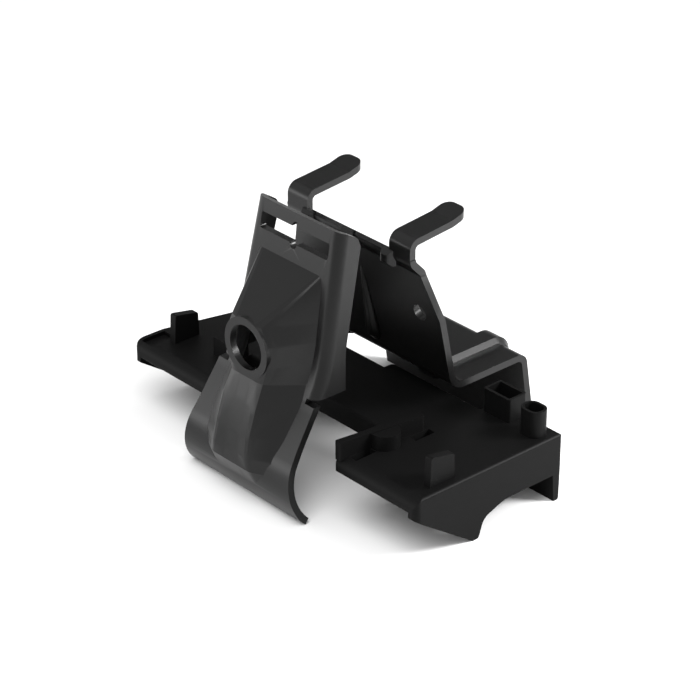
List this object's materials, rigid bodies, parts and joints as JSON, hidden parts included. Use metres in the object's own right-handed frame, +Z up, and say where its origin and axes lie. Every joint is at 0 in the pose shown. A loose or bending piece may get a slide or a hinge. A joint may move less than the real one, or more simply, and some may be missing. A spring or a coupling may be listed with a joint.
{
  "type": "roof rack fit kit",
  "caption": "Roof rack fit kit: a ribbed moulded foot pad with saddle arches, a deep-drawn hooked outer bracket and a bent inner bracket with two arms.",
  "frame": {"origin": "centre of the kit's outline in plan, at the level that all three pieces stand on", "axes": "+X along the foot pad's length, +Y from the outer bracket to the inner bracket, +Z up"},
  "size_m": [0.1468, 0.1074, 0.0964],
  "materials": {
    "moulded_rubber": "matt moulded",
    "coated_steel": "satin black coating"
  },
  "bodies": {
    "root": {"foot_pad": "moulded_rubber", "outer_bracket": "coated_steel", "inner_bracket": "coated_steel"}
  },
  "joints": []
}
